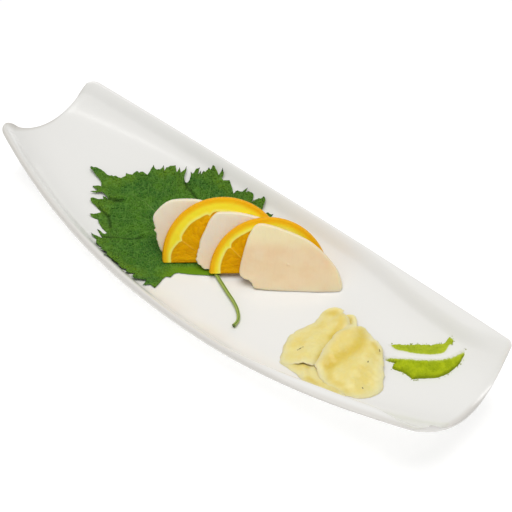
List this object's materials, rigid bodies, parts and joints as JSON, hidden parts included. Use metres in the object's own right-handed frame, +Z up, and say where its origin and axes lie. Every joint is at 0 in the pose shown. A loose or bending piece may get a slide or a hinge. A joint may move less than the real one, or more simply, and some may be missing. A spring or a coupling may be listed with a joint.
{
  "type": "sashimi plate",
  "caption": "Boat-shaped white plate with a perilla leaf, shingled white fish and orange slices, pickled ginger and a wasabi smear.",
  "frame": {"origin": "on the table under the middle of the plate", "axes": "+X along the plate, +Y across it, +Z up"},
  "size_m": [0.3566, 0.1232, 0.0447],
  "materials": {
    "white_glaze": "smooth white glaze",
    "leaf_green": "matte, finely wrinkled leaf",
    "white_fish": "moist, translucent pale flesh",
    "orange_slice": "wet pulp with a waxy peel",
    "pickled_ginger": "thin, wet, translucent",
    "wasabi": "grainy matte paste"
  },
  "bodies": {
    "root": {"plate": "white_glaze", "perilla_leaf": "leaf_green", "fish_slice_back": "white_fish", "fish_slice_middle": "white_fish", "fish_slice_front": "white_fish", "orange_slice_back": "orange_slice", "orange_slice_front": "orange_slice", "ginger_under": "pickled_ginger", "ginger_lobe": "pickled_ginger", "ginger_left": "pickled_ginger", "ginger_right": "pickled_ginger", "wasabi_near": "wasabi", "wasabi_far": "wasabi"}
  },
  "joints": []
}
